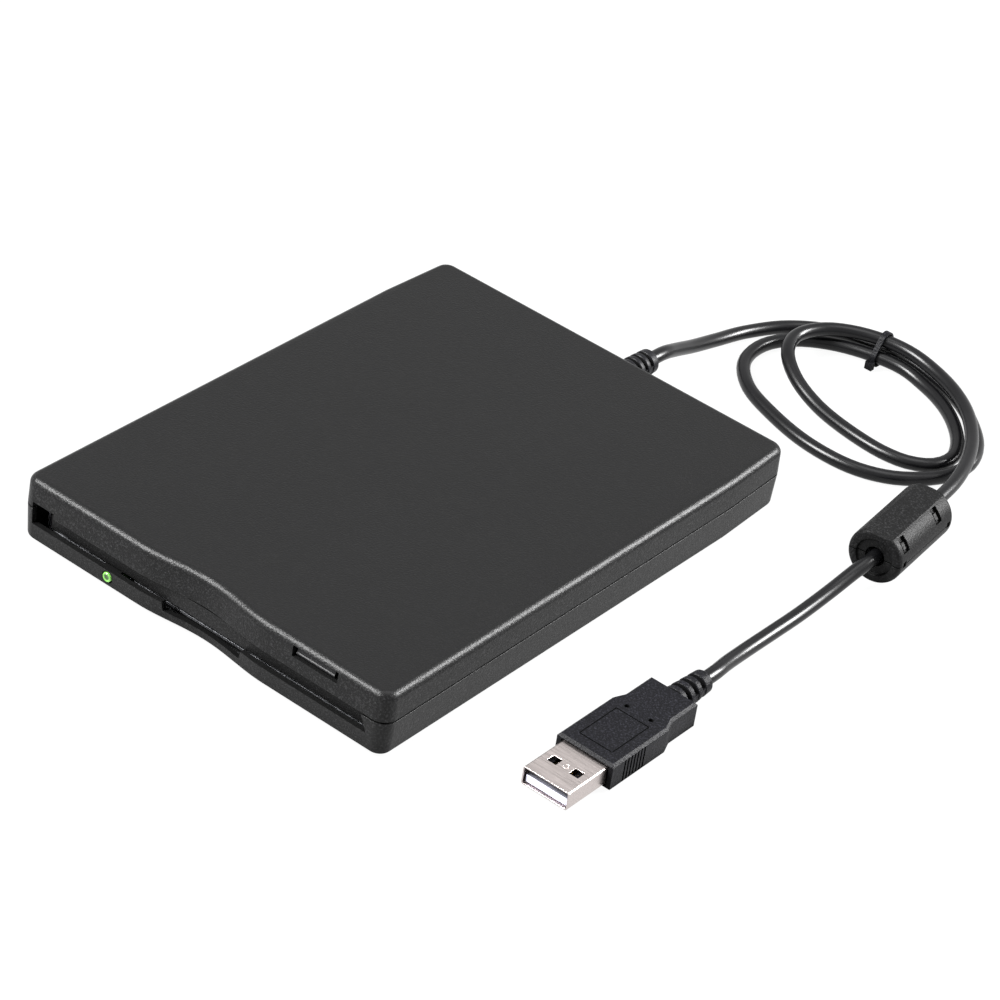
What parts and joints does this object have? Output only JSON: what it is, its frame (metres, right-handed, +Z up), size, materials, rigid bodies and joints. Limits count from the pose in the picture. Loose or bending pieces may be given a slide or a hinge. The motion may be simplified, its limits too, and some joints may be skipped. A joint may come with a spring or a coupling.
{
  "type": "external floppy disk drive",
  "caption": "Slim external floppy disk drive: two-shell case, slot with dust door, eject button, working disk cradle and heads, and a looped lead with ferrite bead and plug.",
  "frame": {"origin": "on the floor under the middle of the case", "axes": "+X right along the front, -Y out of the front with the slot, +Z up"},
  "size_m": [0.1411, 0.2189, 0.017],
  "materials": {
    "case_black": "fine spark texture, charcoal",
    "door_grey": "fine spark texture, dark grey",
    "button_black": "satin black",
    "lens_green": "clear green lens",
    "rubber_black": "matte",
    "screw_steel": "plain steel",
    "zinc_sheet": "zinc plated sheet",
    "bright_sheet": "bright pressed sheet",
    "spring_steel": "drawn wire",
    "board_green": "green solder mask",
    "chip_black": "moulded black",
    "connector_white": "off-white nylon",
    "flex_amber": "amber film",
    "moulded_grey": "moulded dark grey",
    "brass": "turned",
    "winding_copper": "enamelled copper on steel",
    "head_ceramic": "ground ceramic",
    "cable_black": "glossy black jacket",
    "ferrite_grey": "sintered dark grey",
    "plug_black": "satin black",
    "nickel": "nickel plated, lightly brushed",
    "tongue_lavender": "pale lavender"
  },
  "bodies": {
    "case": {"top_cover": "case_black", "bottom_cover": "case_black", "led_lens": "lens_green", "foot_front_left": "rubber_black", "foot_front_right": "rubber_black", "foot_rear_left": "rubber_black", "foot_rear_right": "rubber_black", "case_screw_left": "screw_steel", "case_screw_right": "screw_steel", "drive_screw_front_left": "screw_steel", "drive_screw_front_right": "screw_steel", "drive_screw_rear_left": "screw_steel", "drive_screw_rear_right": "screw_steel", "drive_frame": "zinc_sheet", "drive_lid": "bright_sheet", "eject_spring_left": "spring_steel", "eject_spring_right": "spring_steel", "spindle_board": "board_green", "spindle_bearing": "brass", "spindle_stator": "winding_copper", "guide_rod": "screw_steel", "stepper_motor": "bright_sheet", "screw_bearing": "brass", "write_protect_switch": "chip_black", "density_switch": "chip_black", "main_board": "board_green", "main_chip": "chip_black", "usb_board": "board_green", "interface_chip": "chip_black", "lead_connector": "connector_white", "flex_cable": "flex_amber", "inner_lead": "cable_black", "cable_strain_relief": "cable_black", "usb_cable": "cable_black", "cable_tie": "plug_black", "ferrite_shell_lower": "plug_black", "ferrite_core_lower": "ferrite_grey", "plug_overmold": "plug_black", "plug_shell": "nickel", "plug_tongue": "tongue_lavender"},
    "dust_door": {"dust_door": "door_grey", "door_spring": "spring_steel"},
    "slide": {"slide_plate": "zinc_sheet", "eject_button": "button_black"},
    "cradle": {"disk_cradle": "bright_sheet", "lever_pin": "screw_steel"},
    "shutter_lever": {"shutter_lever": "bright_sheet"},
    "spindle": {"spindle_rotor": "bright_sheet", "disk_hub": "nickel"},
    "carriage": {"head_carriage": "moulded_grey", "lower_head": "head_ceramic"},
    "head_arm": {"head_arm": "bright_sheet", "upper_head": "head_ceramic"},
    "lead_screw": {"lead_screw": "screw_steel"},
    "write_protect_plunger": {"write_protect_plunger": "connector_white"},
    "density_plunger": {"density_plunger": "connector_white"},
    "bead_lid": {"ferrite_shell_upper": "plug_black", "ferrite_core_upper": "ferrite_grey"}
  },
  "joints": [
    {"name": "eject_slide", "type": "slide", "parent": "case", "child": "slide", "axis": [0, -1, 0], "range_m": [0, 0.0035], "deforming": ["eject_spring_left", "eject_spring_right"]},
    {"name": "cradle_lift", "type": "slide", "parent": "case", "child": "cradle", "axis": [0, 0, -1], "range_m": [0, 0.0015]},
    {"name": "dust_door_hinge", "type": "hinge", "parent": "case", "child": "dust_door", "pos_m": [0, -0.0672, 0.011], "axis": [1, 0, 0], "range_deg": [0, 85], "stiffness_Nm_per_rad": 0.0002, "springref_deg": -11.46},
    {"name": "spindle_spin", "type": "hinge", "parent": "case", "child": "spindle", "pos_m": [0, -0.0195, 0.0043], "axis": [0, 0, 1], "continuous": true},
    {"name": "head_travel", "type": "slide", "parent": "case", "child": "carriage", "axis": [0, -1, 0], "range_m": [0, 0.015]},
    {"name": "lead_screw_spin", "type": "hinge", "parent": "case", "child": "lead_screw", "pos_m": [-0.024, 0.0286, 0.0088], "axis": [0, 1, 0], "range_deg": [0, 1440]},
    {"name": "head_arm_lift", "type": "hinge", "parent": "carriage", "child": "head_arm", "pos_m": [0, 0.055, 0.0109], "axis": [1, 0, 0], "range_deg": [0, 7]},
    {"name": "shutter_lever_swing", "type": "hinge", "parent": "cradle", "child": "shutter_lever", "pos_m": [0.04, 0.0245, 0.0108], "axis": [0, 0, -1], "range_deg": [0, 59], "stiffness_Nm_per_rad": 0.0003, "springref_deg": -5.73},
    {"name": "write_protect_press", "type": "slide", "parent": "case", "child": "write_protect_plunger", "axis": [0, 0, -1], "range_m": [0, 0.0009], "stiffness_N_per_m": 50},
    {"name": "density_press", "type": "slide", "parent": "case", "child": "density_plunger", "axis": [0, 0, -1], "range_m": [0, 0.0009], "stiffness_N_per_m": 50},
    {"name": "bead_lid_hinge", "type": "hinge", "parent": "case", "child": "bead_lid", "pos_m": [0.07416, 0.07443, 0.00655], "axis": [0.1075, -0.9942, 0], "range_deg": [0, 150]}
  ],
  "couplings": [
    {"joint": "cradle_lift", "follows": "eject_slide", "ratio": 0.4285},
    {"joint": "head_arm_lift", "follows": "eject_slide", "rad_per_m": 34.9},
    {"joint": "lead_screw_spin", "follows": "head_travel", "rad_per_m": 1675.5}
  ]
}
